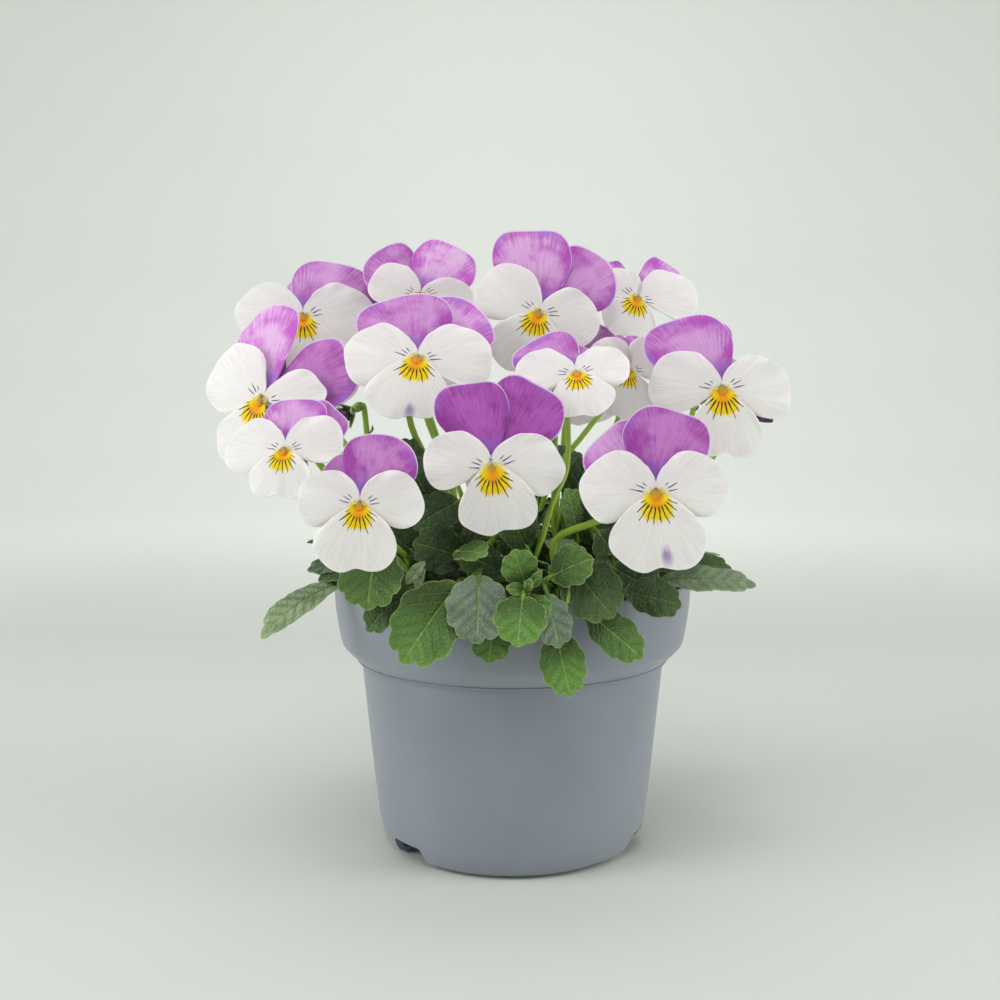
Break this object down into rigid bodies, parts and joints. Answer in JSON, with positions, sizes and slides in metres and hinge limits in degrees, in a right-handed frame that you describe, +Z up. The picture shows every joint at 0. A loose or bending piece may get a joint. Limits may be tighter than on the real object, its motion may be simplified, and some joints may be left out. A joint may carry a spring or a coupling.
{
  "type": "potted horned violet",
  "caption": "Horned violet plant with mauve and white blooms on leafy stems, growing in a round tapered nursery pot.",
  "frame": {"origin": "centre of the pot's underside, on the ground", "axes": "+Z up along the pot's axis, -Y towards the plant's front, +X to its right"},
  "size_m": [0.1646, 0.1366, 0.1798],
  "materials": {
    "pot_plastic": "matte blue-grey",
    "soil": "dark moist potting soil",
    "petal_white": "soft petal, warm white",
    "petal_mauve": "soft petal, mauve",
    "leaf_green": "satin leaf, mid green",
    "bud_purple": "soft petal, dark purple"
  },
  "bodies": {
    "root": {"pot": "pot_plastic", "soil": "soil", "bloom_white_a": "petal_white", "bloom_white_b": "petal_white", "bloom_white_c": "petal_white", "bloom_white_d": "petal_white", "bloom_white_e": "petal_white", "bloom_white_f": "petal_white", "bloom_white_g": "petal_white", "bloom_white_h": "petal_white", "bloom_white_i": "petal_white", "bloom_white_j": "petal_white", "bloom_white_k": "petal_white", "bloom_white_l": "petal_white", "bloom_white_m": "petal_white", "bloom_white_n": "petal_white", "bloom_white_o": "petal_white", "bloom_white_p": "petal_white", "bloom_white_q": "petal_white", "bloom_white_r": "petal_white", "bloom_white_s": "petal_white", "bloom_mauve_a": "petal_mauve", "bloom_mauve_b": "petal_mauve", "bloom_mauve_c": "petal_mauve", "bloom_mauve_d": "petal_mauve", "bloom_mauve_e": "petal_mauve", "bloom_mauve_f": "petal_mauve", "bloom_mauve_g": "petal_mauve", "bloom_mauve_h": "petal_mauve", "bloom_mauve_i": "petal_mauve", "bloom_mauve_j": "petal_mauve", "bloom_mauve_k": "petal_mauve", "bloom_mauve_l": "petal_mauve", "bloom_mauve_m": "petal_mauve", "bloom_mauve_n": "petal_mauve", "bloom_mauve_o": "petal_mauve", "bloom_mauve_p": "petal_mauve", "bloom_mauve_q": "petal_mauve", "bloom_mauve_r": "petal_mauve", "bloom_mauve_s": "petal_mauve", "bud_left": "bud_purple", "bud_right": "bud_purple", "bud_back": "bud_purple", "shoot_01": "leaf_green", "shoot_02": "leaf_green", "shoot_03": "leaf_green", "shoot_04": "leaf_green", "shoot_05": "leaf_green", "shoot_06": "leaf_green", "shoot_07": "leaf_green", "shoot_08": "leaf_green", "shoot_09": "leaf_green", "shoot_10": "leaf_green", "shoot_11": "leaf_green", "shoot_12": "leaf_green", "shoot_13": "leaf_green", "shoot_14": "leaf_green"}
  },
  "joints": []
}
